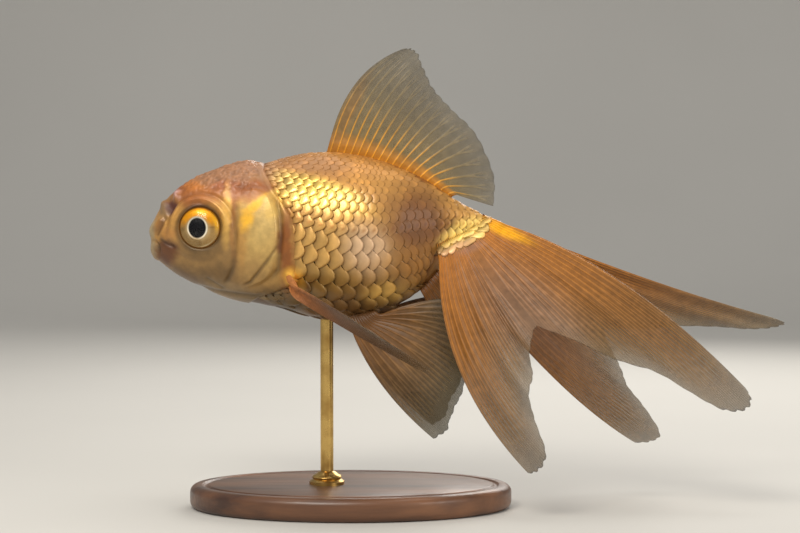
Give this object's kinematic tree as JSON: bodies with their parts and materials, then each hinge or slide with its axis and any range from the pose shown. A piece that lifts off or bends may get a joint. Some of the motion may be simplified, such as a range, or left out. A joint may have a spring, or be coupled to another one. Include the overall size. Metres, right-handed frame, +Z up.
{
  "type": "fancy goldfish model",
  "caption": "Life-size still model of a gold-bronze fancy goldfish with a deep body, high dorsal fin and long forked double tail, held by a slim brass rod on an oval wooden base.",
  "frame": {"origin": "centre of the stand base's flat underside, on the surface that the model stands on", "axes": "+Z up, -X the way the fish heads, +X towards the tail, -Y the fish's left side, +Y its right side"},
  "size_m": [0.125, 0.0542, 0.0885],
  "materials": {
    "head_skin": "gloss",
    "lip_skin": "satin",
    "gill_gold": "gloss",
    "flank_gold": "gloss",
    "stalk_gold": "gloss",
    "eye_gold": "gloss",
    "fin_amber": "satin",
    "tail_amber": "satin",
    "base_wood": "satin",
    "rod_brass": "satin"
  },
  "bodies": {
    "root": {"head": "head_skin", "lower_jaw": "lip_skin", "gill_cover_left": "gill_gold", "gill_cover_right": "gill_gold", "eye_left": "eye_gold", "eye_right": "eye_gold", "nostril_left": "head_skin", "nostril_right": "head_skin", "trunk": "flank_gold", "tail_stalk": "stalk_gold", "dorsal_fin": "fin_amber", "pectoral_fin_left": "fin_amber", "pectoral_fin_right": "fin_amber", "pelvic_fin_left": "fin_amber", "pelvic_fin_right": "fin_amber", "anal_fin_left": "fin_amber", "anal_fin_right": "fin_amber", "tail_fin_upper_left": "tail_amber", "tail_fin_lower_left": "tail_amber", "tail_fin_upper_right": "tail_amber", "tail_fin_lower_right": "tail_amber", "stand_base": "base_wood", "stand_collar": "rod_brass", "stand_rod": "rod_brass"}
  },
  "joints": []
}
